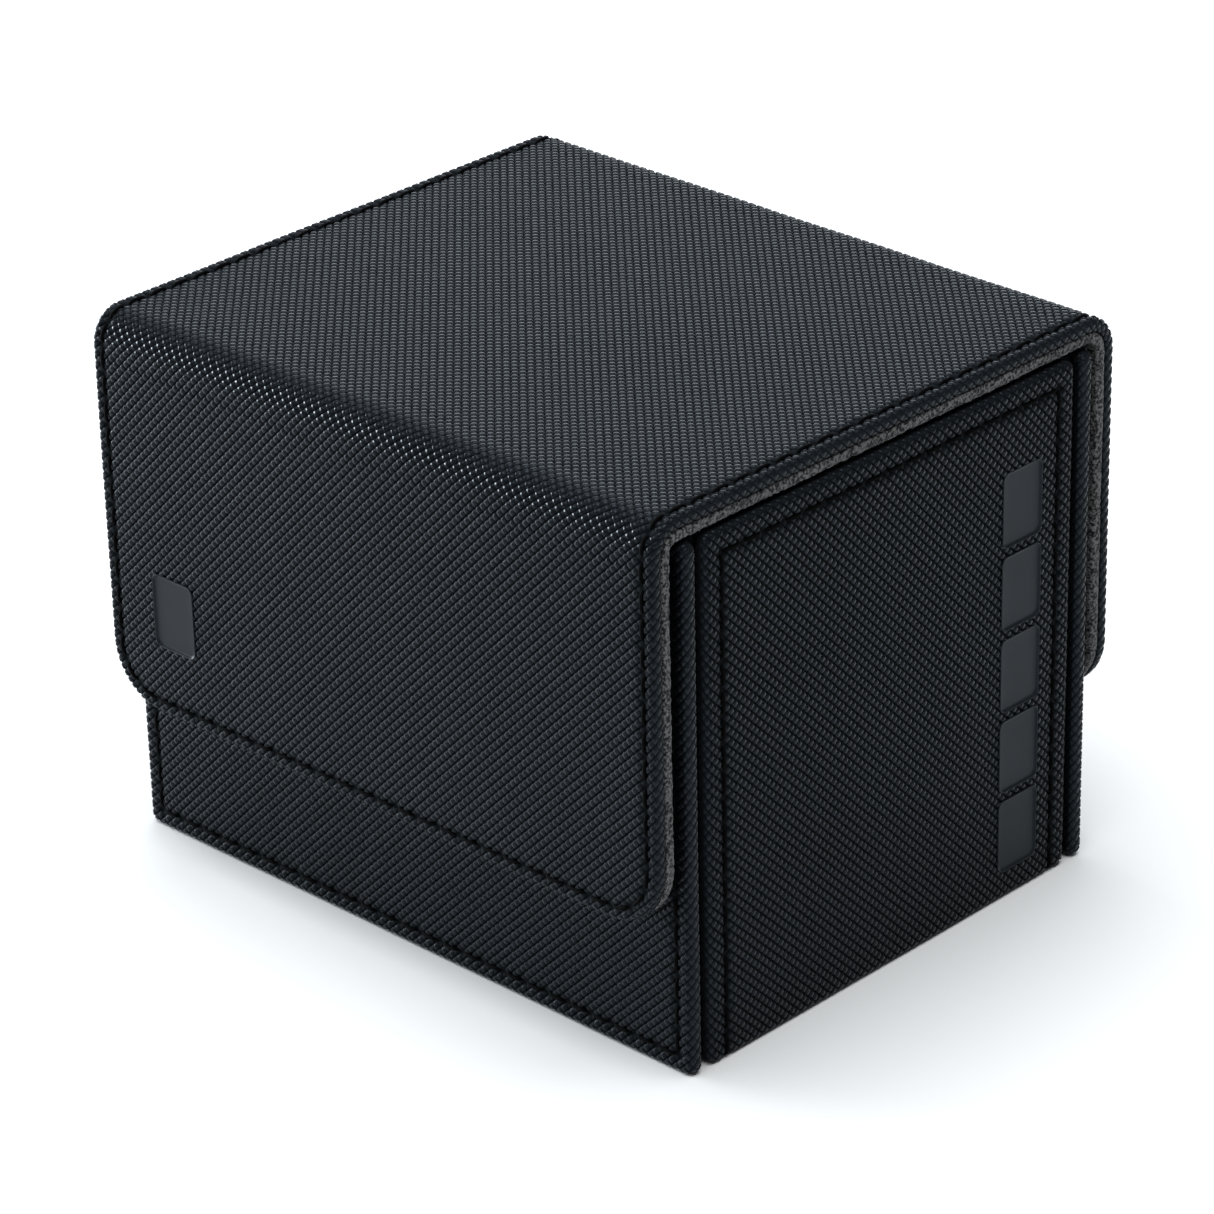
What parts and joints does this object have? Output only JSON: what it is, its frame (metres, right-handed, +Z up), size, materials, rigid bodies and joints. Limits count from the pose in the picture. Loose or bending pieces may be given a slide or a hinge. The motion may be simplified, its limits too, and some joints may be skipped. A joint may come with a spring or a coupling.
{
  "type": "card deck box",
  "caption": "Side-loading card deck box with a black embossed leather-look skin, a soft-hinged wrap-around cover and a magnetic front flap.",
  "frame": {"origin": "middle of the underside, on the table", "axes": "+Z up; the front flap faces -Y; +X to the right as seen from the front, along the box's longest side"},
  "size_m": [0.1072, 0.0926, 0.0822],
  "materials": {
    "embossed_skin": "matte leather-look skin embossed with a fine diagonal lattice",
    "microfibre": "short soft nap",
    "board": "pressed dark grey board, raw",
    "thread": "black bonded thread",
    "magnet": "nickel plated",
    "glue": "cured flexible glue"
  },
  "bodies": {
    "box": {"front_panel_skin": "embossed_skin", "front_panel_board": "board", "front_lining": "microfibre", "back_panel_skin": "embossed_skin", "back_panel_board": "board", "back_lining": "microfibre", "left_panel_skin": "embossed_skin", "left_panel_board": "board", "left_lining": "microfibre", "right_panel_skin": "embossed_skin", "right_panel_board": "board", "right_lining": "microfibre", "base_panel_skin": "embossed_skin", "base_panel_board": "board", "base_lining": "microfibre", "front_panel_magnets": "magnet", "front_panel_stitching": "thread", "back_panel_stitching": "thread", "left_panel_stitching": "thread", "right_panel_stitching": "thread", "back_flap_skin": "embossed_skin", "back_flap_board": "board", "back_flap_lining": "microfibre", "back_flap_stitching": "thread", "back_flap_bond": "glue"},
    "lid": {"lid_skin": "embossed_skin", "lid_board": "board", "lid_lining": "microfibre", "lid_stitching": "thread", "rear_crease_skin": "embossed_skin", "rear_crease_lining": "microfibre", "front_crease_skin": "embossed_skin", "front_crease_lining": "microfibre"},
    "front_flap": {"front_flap_skin": "embossed_skin", "front_flap_board": "board", "front_flap_lining": "microfibre", "front_flap_magnets": "magnet", "front_flap_stitching": "thread"}
  },
  "joints": [
    {"name": "lid_hinge", "type": "hinge", "parent": "box", "child": "lid", "pos_m": [0, 0.04413, 0.08003], "axis": [-1, 0, 0], "range_deg": [0, 160], "deforming": ["rear_crease_skin", "rear_crease_lining"]},
    {"name": "flap_hinge", "type": "hinge", "parent": "lid", "child": "front_flap", "pos_m": [0, -0.04424, 0.08014], "axis": [-1, 0, 0], "range_deg": [0, 90], "deforming": ["front_crease_skin", "front_crease_lining"]}
  ]
}
